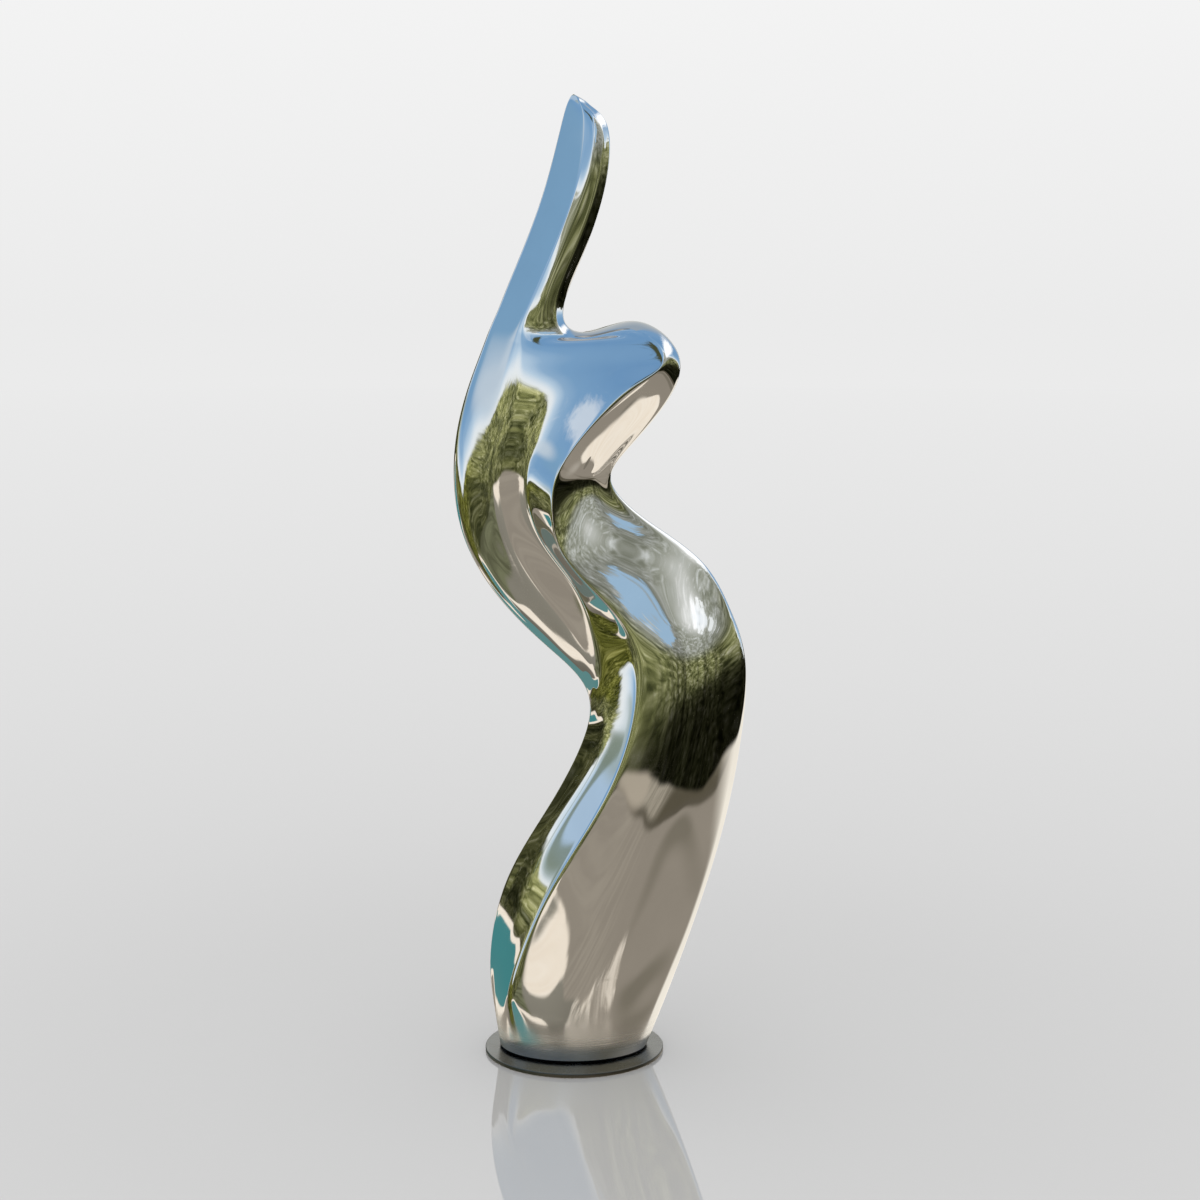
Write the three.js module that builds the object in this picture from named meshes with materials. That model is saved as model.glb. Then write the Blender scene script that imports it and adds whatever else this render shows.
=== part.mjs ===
// Twisted abstract sculpture in polished sheet steel, welded to a round base plate.
// Millimetres, +Z up, the front faces -Y, origin at the centre of the plate's underside.
import * as THREE from "three";

// ---- sizes ----
const PLATE_RADIUS = 190;
const PLATE_THICKNESS = 8;
const PLATE_CHAMFER = 1;
const PLATE_SIDES = 96;

const FOOT_HALF_WIDTH = 157; // the foot is an ellipse
const FOOT_HALF_DEPTH = 127;
const FOOT_CENTRE = [-2, 2];
const FOOT_BLEND = 3; // stations over which the ellipse eases into the twisted section
const TUCK_HEIGHT = 4; // the skin turns in just above the plate, at the weld
const TUCK_INSET = 4;

const TIP = [1, 38, 2005];
const TIP_STATION = 29;
const TIP_ROUND = 27; // the rows close up from here to the tip

const ROWS = 72; // rows of facets from the foot to where the tip closes
const TIP_ROWS = 9;
const STEPS = 2; // points for each control point around a section

// Where the lines along the form leave the foot ellipse, degrees from +X seen from above.
const FOOT_ANGLE = { leftEdge: 181, faceLine: 194, valley: 206, frontRidge: 222, rightEdge: 359 };

// Lofting table. The stations count up the form, and a station leans with the form, so it is not a level.
// left edge: the left outline; face line: the middle of the crescent face, which sharpens into the blade's ridge;
// valley: the hollow beside the front ridge; front ridge: the sharp S from the foot to the lobe; right edge: the right outline.
const LOFT = [
  // station, left edge, face line, valley, front ridge, right edge
  [1, [-171, -2, 99], [-167, -20, 105], [-159, -42, 110], [-140, -96, 124], [190, 2, 98]],
  [2, [-178, 0, 188], [-169, -24, 197], [-153, -53, 205], [-115, -108, 224], [225, 6, 191]],
  [3.5, [-143, -1, 367], [-124, -31, 374], [-97, -65, 382], [-36, -128, 400], [284, 12, 366]],
  [5, [-46, -13, 543], [-27, -44, 549], [1, -78, 555], [64, -135, 571], [329, 16, 536]],
  [6.5, [29, -12, 703], [45, -39, 711], [67, -68, 721], [122, -128, 733], [357, 15, 707]],
  [8, [15, -28, 805], [32, -49, 829], [52, -57, 852], [127, -114, 873], [358, 10, 853]],
  [9.3, [-55, -20, 873], [-8, -48, 904], [33, -55, 931], [84, -104, 952], [325, 3, 953]],
  [10.5, [-139, -9, 954], [-63, -45.5, 980], [5, -52, 1001], [29, -103, 1011], [270, -6, 1046]],
  [12, [-222, 8, 1081], [-138, -41.5, 1083], [-56, -49.5, 1087], [-29, -108, 1091], [151, -18, 1138]],
  [13.5, [-248, 9, 1209], [-168, -48, 1198], [-93, -55.5, 1180], [-41, -114, 1177], [80, -26, 1211]],
  [15.5, [-235, 1, 1346], [-152, -54, 1330], [-80, -65, 1310], [3, -110, 1292], [126, -31, 1301]],
  [17, [-211, 0, 1427], [-136, -50, 1411], [-43, -64, 1405], [121, -95, 1412], [211, -30, 1417]],
  [18.2, [-192, 0, 1477], [-126, -46, 1458], [-49, -55, 1458], [179, -74, 1464], [205, -22, 1498]],
  [19.4, [-173, 1, 1526], [-116, -41.5, 1499], [-65, -47, 1492], [113, -51, 1512], [127, -8, 1545]],
  [20.6, [-155, 4, 1567], [-106, -37, 1538], [-67, -38, 1517], [22, -28, 1507], [34, -2, 1524]],
  [22, [-134, 9, 1618], [-82, -31, 1596], [-63, -34, 1575], [-34, -27, 1547], [-20, 3, 1552]],
  [24.5, [-62, 34, 1804], [1, -7, 1802], [11, -10, 1770], [24, -9, 1734], [41, 17, 1734]],
  [27, [-14, 45, 1981], [21, 17, 1967], [39, 14, 1960], [54, 17, 1950], [66, 32, 1951]],
  [28, [-6, 44, 1999], [12, 25, 1991], [20, 28, 1987], [26, 30, 1984], [35, 36, 1983]],
  [28.6, [-3, 42, 2003], [8, 31, 2000], [13, 33, 1998], [16, 35, 1997], [20, 38, 1995]],
];

// ---- curves along the form ----
// Natural cubic spline through vectors, as a function of the station.
function spline(at, value) {
  const n = at.length, dim = value[0].length;
  const c = new Float64Array(n), m = value.map(() => new Float64Array(dim));
  for (let i = 1; i < n - 1; i++) {
    const h0 = at[i] - at[i - 1], h1 = at[i + 1] - at[i];
    const pivot = 2 * (h0 + h1) - h0 * c[i - 1];
    c[i] = h1 / pivot;
    for (let d = 0; d < dim; d++) {
      const turn = 6 * ((value[i + 1][d] - value[i][d]) / h1 - (value[i][d] - value[i - 1][d]) / h0);
      m[i][d] = (turn - h0 * m[i - 1][d]) / pivot;
    }
  }
  for (let i = n - 2; i > 0; i--) for (let d = 0; d < dim; d++) m[i][d] -= c[i] * m[i + 1][d];
  return (t) => {
    let i = 0;
    while (i < n - 2 && t > at[i + 1]) i++;
    const h = at[i + 1] - at[i], a = (at[i + 1] - t) / h, b = 1 - a;
    return Array.from({ length: dim }, (_, d) =>
      a * value[i][d] + b * value[i + 1][d] + ((a ** 3 - a) * m[i][d] + (b ** 3 - b) * m[i + 1][d]) * h * h / 6);
  };
}
const along = (...pairs) => {
  const f = spline(pairs.map((p) => p[0]), pairs.map((p) => [p[1]]));
  return (t) => f(t)[0];
};

const onFoot = (degrees) => {
  const a = degrees * Math.PI / 180;
  return [FOOT_CENTRE[0] + FOOT_HALF_WIDTH * Math.cos(a), FOOT_CENTRE[1] + FOOT_HALF_DEPTH * Math.sin(a), PLATE_THICKNESS + TUCK_HEIGHT];
};
const LINES = Object.keys(FOOT_ANGLE).map((name, k) =>
  spline([0, ...LOFT.map((r) => r[0]), TIP_STATION], [onFoot(FOOT_ANGLE[name]), ...LOFT.map((r) => r[k + 1]), TIP]));

const BACK_DEPTH = along([0, 146], [3, 138], [7, 118], [10, 108], [14, 98], [18, 86], [20, 79], [21, 75], [24, 70], [26, 66], [27, 60], [28, 52], [28.6, 47], [29, 38]);
const BACK_SAG = along([0, 0], [12, 0], [15.5, 0], [17, 9], [18.2, 26], [19.4, 44], [20.6, 34], [22, 12], [24, 0], [26, 0], [29, 0]); // drop of the back's crest behind the saddle between blade and lobe
const BACK_TURN = along([0, 0.86], [16, 0.86], [18, 0.9], [19.5, 0.97], [22, 0.97], [24, 0.92], [29, 0.88]); // share of the way at which the right edge turns into the back
const BACK_CREST = along([0, 0.47], [4, 0.4], [8, 0.56], [12, 0.52], [16, 0.44], [20, 0.46], [24, 0.5], [29, 0.5]); // share of the way from the left edge to the right
const FRONT_BULGE = along([0, 88], [1, 89], [2, 86], [4, 73], [6, 64], [8, 54], [9, 40], [10, 23], [11, 7], [12, -8], [13, -20], [14, -25], [15, -17], [16, -5], [17, 8], [18, 14], [19, 14], [20, 9], [21, 4], [23, 1], [26, 1], [29, 0]);
const LEFT_ROUND = along([0, 0], [7, 0], [8.5, 0.3], [10, 0.6], [12, 0.6], [14, 0.35], [17, 0.1], [20, 0], [29, 0]); // how flat the rounding of the left edge is
const FRONT_SHARE = 0.55; // how far the right face's crown lies from the front ridge to the right edge

// How far each corner's rounding reaches along the sides of the section: small is sharp. SOFT is a share of the side, REACH is in millimetres.
const SOFTEST = 0.33;
const SOFT_LIMITS = [0.012, 0.36];
const LEAST_REACH = 2;
const SOFT = {
  leftEdge: along([0, 0.33], [4, 0.28], [7, 0.22], [8, 0.3], [9, 0.34], [11, 0.36], [13, 0.34], [16, 0.3], [18, 0.24], [20, 0.17], [22, 0.15], [24, 0.15], [28, 0.2], [29, 0.3]),
  valley: along([0, 0.33], [6, 0.3], [8, 0.16], [10, 0.12], [14, 0.12], [16, 0.2], [18, 0.33], [29, 0.33]),
  rightEdge: along([0, 0.33], [2, 0.2], [4, 0.14], [7, 0.14], [10, 0.16], [13, 0.22], [16, 0.28], [18, 0.3], [21, 0.25], [24, 0.2], [29, 0.3]),
  backCrest: along([0, 0.33], [3, 0.25], [6, 0.12], [12, 0.1], [17, 0.14], [20, 0.25], [29, 0.33]),
};
const REACH = {
  faceLine: along([0, 200], [15, 150], [17, 100], [18, 66], [19, 36], [20, 17], [21, 9], [22, 6.5], [25, 5.5], [27, 5.5], [28, 5], [28.6, 6], [29, 8]),
  frontRidge: along([0, 150], [1, 48], [2, 19], [3, 12], [4, 10], [5, 10.5], [6.5, 14], [8, 16], [9.3, 12], [10.5, 8.5], [15, 8.5], [16, 12], [17, 36], [18, 80], [19, 120], [29, 120]),
};
// The section's corners in order, with how flat the rounding of each is.
const CORNERS = [
  ["leftEdge", 0], ["faceLine", 0], ["valley", 0.5], ["frontRidge", 0], ["frontCrown", 0.8],
  ["rightEdge", 0.3], ["backRight", 0.8], ["backCrest", 0.3], ["backLeft", 0.8],
];
const BACK_RIGHT_DEPTH = 0.74; // of the back's depth
const BACK_LEFT_SHARE = 0.13;
const BACK_LEFT_DEPTH = 0.7;

const mix = (a, b, f) => a.map((v, i) => v + (b[i] - v) * f);

// Share of the side from p to q that the rounding of corner p takes.
function softness(name, t, p, q) {
  if (REACH[name]) return Math.min(SOFTEST, Math.max(LEAST_REACH, REACH[name](t)) / Math.max(1, Math.hypot(...p.map((v, d) => q[d] - v))));
  return SOFT[name] ? Math.min(SOFT_LIMITS[1], Math.max(SOFT_LIMITS[0], SOFT[name](t))) : SOFTEST;
}

// Control points of the section at one station. The outlines and the crown are pushed out until the rounded section passes through them.
function section(t) {
  const corner = {};
  Object.keys(FOOT_ANGLE).forEach((name, k) => { corner[name] = LINES[k](t); });
  const left = corner.leftEdge, right = corner.rightEdge;
  const crown = mix(corner.frontRidge, right, FRONT_SHARE);
  crown[1] -= FRONT_BULGE(t);
  corner.frontCrown = crown;
  const back = (share, depth) => {
    const p = mix(left, right, share);
    p[1] = depth * BACK_DEPTH(t) + (1 - depth) * 0.6 * p[1];
    return p;
  };
  corner.backRight = back(BACK_TURN(t), BACK_RIGHT_DEPTH);
  corner.backCrest = back(BACK_CREST(t), 1);
  corner.backCrest[2] -= BACK_SAG(t);
  corner.backLeft = back(BACK_LEFT_SHARE, BACK_LEFT_DEPTH);
  const target = { leftEdge: left, rightEdge: right, frontCrown: crown };
  let control = [];
  for (let pass = 0; pass < 4; pass++) {
    control = [];
    const moved = {};
    CORNERS.forEach(([name, flat], i) => {
      const before = corner[CORNERS[(i + CORNERS.length - 1) % CORNERS.length][0]];
      const after = corner[CORNERS[(i + 1) % CORNERS.length][0]];
      const p = corner[name];
      const into = mix(p, before, softness(name, t, p, before)), out = mix(p, after, softness(name, t, p, after));
      const middle = mix(p, mix(into, out, 0.5), name === "leftEdge" ? Math.max(0, LEFT_ROUND(t)) : flat);
      control.push(into, middle, out);
      if (target[name]) moved[name] = p.map((v, d) => v + target[name][d] - (into[d] + 4 * middle[d] + out[d]) / 6);
    });
    if (pass < 3) Object.assign(corner, moved);
  }
  return control;
}

// Points around a closed cubic B-spline.
function loop(control) {
  const n = control.length, points = [];
  for (let i = 0; i < n; i++) {
    for (let s = 0; s < STEPS; s++) {
      const u = s / STEPS;
      const w = [(1 - u) ** 3, 3 * u ** 3 - 6 * u * u + 4, -3 * u ** 3 + 3 * u * u + 3 * u + 1, u ** 3];
      points.push([0, 1, 2].map((d) => w.reduce((sum, wk, k) => sum + wk * control[(i + k - 1 + n) % n][d], 0) / 6));
    }
  }
  return points;
}

// ---- meshes ----
function meshOf(name, rings, bottom, top, material) {
  const points = [...rings.flat(), bottom, top], around = rings[0].length, faces = [];
  const low = points.length - 2, high = points.length - 1;
  for (let j = 0; j < around; j++) {
    const k = (j + 1) % around;
    faces.push([low, k, j]);
    for (let i = 0; i + 1 < rings.length; i++) {
      const a = i * around + j, b = i * around + k;
      faces.push([a, b, b + around], [a, b + around, a + around]);
    }
    const last = (rings.length - 1) * around;
    faces.push([last + j, last + k, high]);
  }
  const geometry = new THREE.BufferGeometry();
  geometry.setAttribute("position", new THREE.BufferAttribute(new Float32Array(points.flat()), 3));
  geometry.setIndex(faces.flat());
  geometry.computeVertexNormals();
  const mesh = new THREE.Mesh(geometry, material);
  mesh.name = name;
  return mesh;
}

function body() {
  const stations = [];
  for (let i = 0; i < ROWS; i++) stations.push(TIP_ROUND * i / ROWS);
  for (let i = 0; i < TIP_ROWS; i++) stations.push(TIP_ROUND + (TIP_STATION - TIP_ROUND) * (1 - (1 - i / TIP_ROWS) ** 1.5));
  const rings = stations.map((t) => loop(section(t)));
  const toEllipse = rings[0].map((p) => {
    const a = Math.atan2((p[1] - FOOT_CENTRE[1]) / FOOT_HALF_DEPTH, (p[0] - FOOT_CENTRE[0]) / FOOT_HALF_WIDTH);
    return onFoot(a * 180 / Math.PI).map((v, d) => v - p[d]);
  });
  stations.forEach((t, i) => {
    const x = Math.min(1, t / FOOT_BLEND), weight = 1 - x ** 3 * (10 - 15 * x + 6 * x * x);
    rings[i] = rings[i].map((p, j) => p.map((v, d) => v + weight * toEllipse[j][d]));
  });
  const tucked = rings[0].map((p) => [
    FOOT_CENTRE[0] + (p[0] - FOOT_CENTRE[0]) * (1 - TUCK_INSET / FOOT_HALF_WIDTH),
    FOOT_CENTRE[1] + (p[1] - FOOT_CENTRE[1]) * (1 - TUCK_INSET / FOOT_HALF_DEPTH),
    PLATE_THICKNESS,
  ]);
  const steel = new THREE.MeshStandardMaterial({ color: 0xd6d8d9, metalness: 1, roughness: 0.08 });
  return meshOf("sculpture_body", [tucked, ...rings], [...FOOT_CENTRE, PLATE_THICKNESS], TIP, steel);
}

function plate() {
  const circle = (radius, z) => Array.from({ length: PLATE_SIDES }, (_, j) => {
    const a = 2 * Math.PI * j / PLATE_SIDES;
    return [radius * Math.cos(a), radius * Math.sin(a), z];
  });
  const rings = [
    circle(PLATE_RADIUS - PLATE_CHAMFER, 0), circle(PLATE_RADIUS, PLATE_CHAMFER),
    circle(PLATE_RADIUS, PLATE_THICKNESS - PLATE_CHAMFER), circle(PLATE_RADIUS - PLATE_CHAMFER, PLATE_THICKNESS),
  ];
  const satin = new THREE.MeshStandardMaterial({ color: 0xa9a9a6, metalness: 1, roughness: 0.35 });
  return meshOf("base_plate", rings, [0, 0, 0], [0, 0, PLATE_THICKNESS], satin);
}

const sculpture = new THREE.Group();
sculpture.name = "abstract_sculpture";
sculpture.add(plate(), body());
export default sculpture;
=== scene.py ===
"""Looks of the twisted steel sculpture on its round base plate.

Metres, +Z up, the front faces -Y. The lofting table and its curves are those of the CAD solid, in millimetres,
sampled more finely here, so the skin lies where the CAD body is.
"""

import math

import bpy
import numpy as np
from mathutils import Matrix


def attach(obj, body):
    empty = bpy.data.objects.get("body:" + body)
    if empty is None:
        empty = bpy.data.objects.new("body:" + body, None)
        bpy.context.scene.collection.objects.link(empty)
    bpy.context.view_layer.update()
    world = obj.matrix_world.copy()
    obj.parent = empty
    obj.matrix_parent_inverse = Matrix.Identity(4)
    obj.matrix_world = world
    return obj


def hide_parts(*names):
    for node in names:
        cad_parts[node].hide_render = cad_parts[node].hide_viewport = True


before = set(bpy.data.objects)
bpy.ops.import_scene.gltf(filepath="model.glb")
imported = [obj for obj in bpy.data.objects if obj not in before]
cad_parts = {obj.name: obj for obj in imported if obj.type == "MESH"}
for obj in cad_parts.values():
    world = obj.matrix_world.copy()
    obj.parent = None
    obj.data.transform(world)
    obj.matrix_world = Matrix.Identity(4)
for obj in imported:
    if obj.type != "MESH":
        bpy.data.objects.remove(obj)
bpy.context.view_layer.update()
scene = bpy.context.scene

# ---------------------------------------------------------------- sizes, mm
PLATE_RADIUS = 190.0
PLATE_THICKNESS = 8.0
PLATE_SEGMENTS = 224
PLATE_EDGE = 1.4  # radius of the plate's broken edges

FOOT_HALF = np.array([157.0, 127.0])
FOOT_CENTRE = np.array([-2.0, 2.0])
FOOT_BLEND = 3.0
TUCK_HEIGHT = 4.0
TUCK_INSET = 4.0
TUCK_ROWS = 6

TIP = np.array([1.0, 38.0, 2005.0])
TIP_STATION = 29.0
TIP_ROUND = 27.0

ROWS = 300
TIP_ROWS = 26
CORNER_STEPS = 7  # points over each half of a corner's rounding
FACE_STEPS = 16  # points over the face between two corners

LINE_NAMES = ("leftEdge", "faceLine", "valley", "frontRidge", "rightEdge")
FOOT_ANGLE = (181, 194, 206, 222, 359)
LOFT = [
    [1, [-171, -2, 99], [-167, -20, 105], [-159, -42, 110], [-140, -96, 124], [190, 2, 98]],
    [2, [-178, 0, 188], [-169, -24, 197], [-153, -53, 205], [-115, -108, 224], [225, 6, 191]],
    [3.5, [-143, -1, 367], [-124, -31, 374], [-97, -65, 382], [-36, -128, 400], [284, 12, 366]],
    [5, [-46, -13, 543], [-27, -44, 549], [1, -78, 555], [64, -135, 571], [329, 16, 536]],
    [6.5, [29, -12, 703], [45, -39, 711], [67, -68, 721], [122, -128, 733], [357, 15, 707]],
    [8, [15, -28, 805], [32, -49, 829], [52, -57, 852], [127, -114, 873], [358, 10, 853]],
    [9.3, [-55, -20, 873], [-8, -48, 904], [33, -55, 931], [84, -104, 952], [325, 3, 953]],
    [10.5, [-139, -9, 954], [-63, -45.5, 980], [5, -52, 1001], [29, -103, 1011], [270, -6, 1046]],
    [12, [-222, 8, 1081], [-138, -41.5, 1083], [-56, -49.5, 1087], [-29, -108, 1091], [151, -18, 1138]],
    [13.5, [-248, 9, 1209], [-168, -48, 1198], [-93, -55.5, 1180], [-41, -114, 1177], [80, -26, 1211]],
    [15.5, [-235, 1, 1346], [-152, -54, 1330], [-80, -65, 1310], [3, -110, 1292], [126, -31, 1301]],
    [17, [-211, 0, 1427], [-136, -50, 1411], [-43, -64, 1405], [121, -95, 1412], [211, -30, 1417]],
    [18.2, [-192, 0, 1477], [-126, -46, 1458], [-49, -55, 1458], [179, -74, 1464], [205, -22, 1498]],
    [19.4, [-173, 1, 1526], [-116, -41.5, 1499], [-65, -47, 1492], [113, -51, 1512], [127, -8, 1545]],
    [20.6, [-155, 4, 1567], [-106, -37, 1538], [-67, -38, 1517], [22, -28, 1507], [34, -2, 1524]],
    [22, [-134, 9, 1618], [-82, -31, 1596], [-63, -34, 1575], [-34, -27, 1547], [-20, 3, 1552]],
    [24.5, [-62, 34, 1804], [1, -7, 1802], [11, -10, 1770], [24, -9, 1734], [41, 17, 1734]],
    [27, [-14, 45, 1981], [21, 17, 1967], [39, 14, 1960], [54, 17, 1950], [66, 32, 1951]],
    [28, [-6, 44, 1999], [12, 25, 1991], [20, 28, 1987], [26, 30, 1984], [35, 36, 1983]],
    [28.6, [-3, 42, 2003], [8, 31, 2000], [13, 33, 1998], [16, 35, 1997], [20, 38, 1995]],
]


# ---------------------------------------------------------------- the loft
def spline(at, value):
    """Natural cubic spline through vectors, as a function of the station."""
    at, value = np.array(at, float), np.array(value, float)
    n = len(at)
    c, m = np.zeros(n), np.zeros_like(value)
    for i in range(1, n - 1):
        h0, h1 = at[i] - at[i - 1], at[i + 1] - at[i]
        pivot = 2 * (h0 + h1) - h0 * c[i - 1]
        c[i] = h1 / pivot
        turn = 6 * ((value[i + 1] - value[i]) / h1 - (value[i] - value[i - 1]) / h0)
        m[i] = (turn - h0 * m[i - 1]) / pivot
    for i in range(n - 2, 0, -1):
        m[i] -= c[i] * m[i + 1]

    def at_station(t):
        i = int(np.clip(np.searchsorted(at, t, "left") - 1, 0, n - 2))
        h = at[i + 1] - at[i]
        a = (at[i + 1] - t) / h
        b = 1 - a
        return a * value[i] + b * value[i + 1] + ((a**3 - a) * m[i] + (b**3 - b) * m[i + 1]) * h * h / 6

    return at_station


def along(*pairs):
    f = spline([p[0] for p in pairs], [[p[1]] for p in pairs])
    return lambda t: f(t)[0]


def on_foot(angle):
    x, y = FOOT_CENTRE + FOOT_HALF * np.array([math.cos(angle), math.sin(angle)])
    return np.array([x, y, PLATE_THICKNESS + TUCK_HEIGHT])


LINES = [
    spline(
        [0, *[r[0] for r in LOFT], TIP_STATION],
        [on_foot(math.radians(FOOT_ANGLE[k])), *[r[k + 1] for r in LOFT], TIP],
    )
    for k in range(len(LINE_NAMES))
]
BACK_DEPTH = along([0, 146], [3, 138], [7, 118], [10, 108], [14, 98], [18, 86], [20, 79], [21, 75], [24, 70], [26, 66], [27, 60], [28, 52], [28.6, 47], [29, 38])
BACK_SAG = along([0, 0], [12, 0], [15.5, 0], [17, 9], [18.2, 26], [19.4, 44], [20.6, 34], [22, 12], [24, 0], [26, 0], [29, 0])
BACK_TURN = along([0, 0.86], [16, 0.86], [18, 0.9], [19.5, 0.97], [22, 0.97], [24, 0.92], [29, 0.88])
BACK_CREST = along([0, 0.47], [4, 0.4], [8, 0.56], [12, 0.52], [16, 0.44], [20, 0.46], [24, 0.5], [29, 0.5])
FRONT_BULGE = along([0, 88], [1, 89], [2, 86], [4, 73], [6, 64], [8, 54], [9, 40], [10, 23], [11, 7], [12, -8], [13, -20], [14, -25], [15, -17], [16, -5], [17, 8], [18, 14], [19, 14], [20, 9], [21, 4], [23, 1], [26, 1], [29, 0])
FRONT_SHARE = 0.55
LEFT_ROUND = along([0, 0], [7, 0], [8.5, 0.3], [10, 0.6], [12, 0.6], [14, 0.35], [17, 0.1], [20, 0], [29, 0])
SOFTEST = 0.33
SOFT_LIMITS = (0.012, 0.36)
SOFT = {
    "leftEdge": along([0, 0.33], [4, 0.28], [7, 0.22], [8, 0.3], [9, 0.34], [11, 0.36], [13, 0.34], [16, 0.3], [18, 0.24], [20, 0.17], [22, 0.15], [24, 0.15], [28, 0.2], [29, 0.3]),
    "valley": along([0, 0.33], [6, 0.3], [8, 0.16], [10, 0.12], [14, 0.12], [16, 0.2], [18, 0.33], [29, 0.33]),
    "rightEdge": along([0, 0.33], [2, 0.2], [4, 0.14], [7, 0.14], [10, 0.16], [13, 0.22], [16, 0.28], [18, 0.3], [21, 0.25], [24, 0.2], [29, 0.3]),
    "backCrest": along([0, 0.33], [3, 0.25], [6, 0.12], [12, 0.1], [17, 0.14], [20, 0.25], [29, 0.33]),
}
REACH = {
    "faceLine": along([0, 200], [15, 150], [17, 100], [18, 66], [19, 36], [20, 17], [21, 9], [22, 6.5], [25, 5.5], [27, 5.5], [28, 5], [28.6, 6], [29, 8]),
    "frontRidge": along([0, 150], [1, 48], [2, 19], [3, 12], [4, 10], [5, 10.5], [6.5, 14], [8, 16], [9.3, 12], [10.5, 8.5], [15, 8.5], [16, 12], [17, 36], [18, 80], [19, 120], [29, 120]),
}
CORNERS = [
    ("leftEdge", 0), ("faceLine", 0), ("valley", 0.5), ("frontRidge", 0), ("frontCrown", 0.8),
    ("rightEdge", 0.3), ("backRight", 0.8), ("backCrest", 0.3), ("backLeft", 0.8),
]
BACK_RIGHT_DEPTH = 0.74
BACK_LEFT_SHARE = 0.13
BACK_LEFT_DEPTH = 0.7


def mix(a, b, f):
    return a + (b - a) * f


def softness(name, t, p, q):
    """Share of the side from p to q that the rounding of corner p takes."""
    if name in REACH:
        return min(SOFTEST, max(2.0, REACH[name](t)) / max(1.0, float(np.linalg.norm(q - p))))
    return float(np.clip(SOFT[name](t), *SOFT_LIMITS)) if name in SOFT else SOFTEST


def section(t):
    """Control points of the section at one station."""
    corner = {name: LINES[k](t) for k, name in enumerate(LINE_NAMES)}
    left, right = corner["leftEdge"], corner["rightEdge"]
    crown = mix(corner["frontRidge"], right, FRONT_SHARE)
    crown[1] -= FRONT_BULGE(t)
    corner["frontCrown"] = crown

    def back(share, depth):
        p = mix(left, right, share)
        p[1] = depth * BACK_DEPTH(t) + (1 - depth) * 0.6 * p[1]
        return p

    corner["backRight"] = back(BACK_TURN(t), BACK_RIGHT_DEPTH)
    corner["backCrest"] = back(BACK_CREST(t), 1)
    corner["backCrest"][2] -= BACK_SAG(t)
    corner["backLeft"] = back(BACK_LEFT_SHARE, BACK_LEFT_DEPTH)
    target = {"leftEdge": left, "rightEdge": right, "frontCrown": crown}
    control = []
    for turn in range(4):
        control, moved = [], {}
        for i, (name, flat) in enumerate(CORNERS):
            before, after = corner[CORNERS[i - 1][0]], corner[CORNERS[(i + 1) % len(CORNERS)][0]]
            p = corner[name]
            into, out = mix(p, before, softness(name, t, p, before)), mix(p, after, softness(name, t, p, after))
            middle = mix(p, (into + out) / 2, max(0.0, LEFT_ROUND(t)) if name == "leftEdge" else flat)
            control += [into, middle, out]
            if name in target:
                moved[name] = p + target[name] - (into + 4 * middle + out) / 6
        if turn < 3:
            corner.update(moved)
    return np.array(control)


def loop_weights():
    """Weights of the control points for the points around a closed cubic B-spline."""
    n = 3 * len(CORNERS)
    rows = []
    for i in range(n):
        steps = FACE_STEPS if i % 3 == 2 else CORNER_STEPS
        for s in range(steps):
            u = s / steps
            row = np.zeros(n)
            for k, w in enumerate(((1 - u) ** 3, 3 * u**3 - 6 * u * u + 4, -3 * u**3 + 3 * u * u + 3 * u + 1, u**3)):
                row[(i + k - 1) % n] += w / 6
            rows.append(row)
    return np.array(rows)


def body_rings():
    stations = [TIP_ROUND * i / ROWS for i in range(ROWS)]
    stations += [TIP_ROUND + (TIP_STATION - TIP_ROUND) * (1 - (1 - i / TIP_ROWS) ** 1.5) for i in range(TIP_ROWS)]
    weights = loop_weights()
    rings = np.array([weights @ section(t) for t in stations])
    foot = rings[0]
    angle = np.arctan2((foot[:, 1] - FOOT_CENTRE[1]) / FOOT_HALF[1], (foot[:, 0] - FOOT_CENTRE[0]) / FOOT_HALF[0])
    to_ellipse = np.array([on_foot(a) for a in angle]) - foot
    x = np.minimum(1, np.array(stations) / FOOT_BLEND)
    weight = 1 - x**3 * (10 - 15 * x + 6 * x * x)
    return rings + weight[:, None, None] * to_ellipse


def sheet_waves(points, normals):
    """The slight unevenness of a hand-planished sheet, a fraction of a millimetre, along the normals. Fades out at the foot and the tip."""
    rng = np.random.default_rng(11)
    height = np.zeros(len(points))
    for _ in range(28):
        direction = rng.normal(size=3)
        direction /= np.linalg.norm(direction)
        length = rng.uniform(130, 360)
        height += length / 360 * np.sin(2 * math.pi * (points @ direction) / length + rng.uniform(0, 2 * math.pi))
    z = points[:, 2]
    fade = np.clip((z - 20) / 120, 0, 1) * np.clip((1990 - z) / 120, 0, 1)
    return points + normals * (0.05 * height * fade)[:, None]


def mesh_object(name, points_mm, faces, material, smooth=True):
    mesh = bpy.data.meshes.new(name)
    mesh.from_pydata((np.asarray(points_mm) / 1000.0).tolist(), [], faces)
    mesh.polygons.foreach_set("use_smooth", [smooth] * len(mesh.polygons))
    mesh.validate()
    mesh.update()
    mesh.materials.append(material)
    obj = bpy.data.objects.new(name, mesh)
    scene.collection.objects.link(obj)
    return obj


def ring_faces(count, around, low, high):
    """Quads between rings of points, closed by fans to the points low and high."""
    faces = []
    for j in range(around):
        k = (j + 1) % around
        faces.append((low, k, j))
        for i in range(count - 1):
            a, b = i * around + j, i * around + k
            faces.append((a, b, b + around, a + around))
        last = (count - 1) * around
        faces.append((last + j, last + k, high))
    return faces


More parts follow.
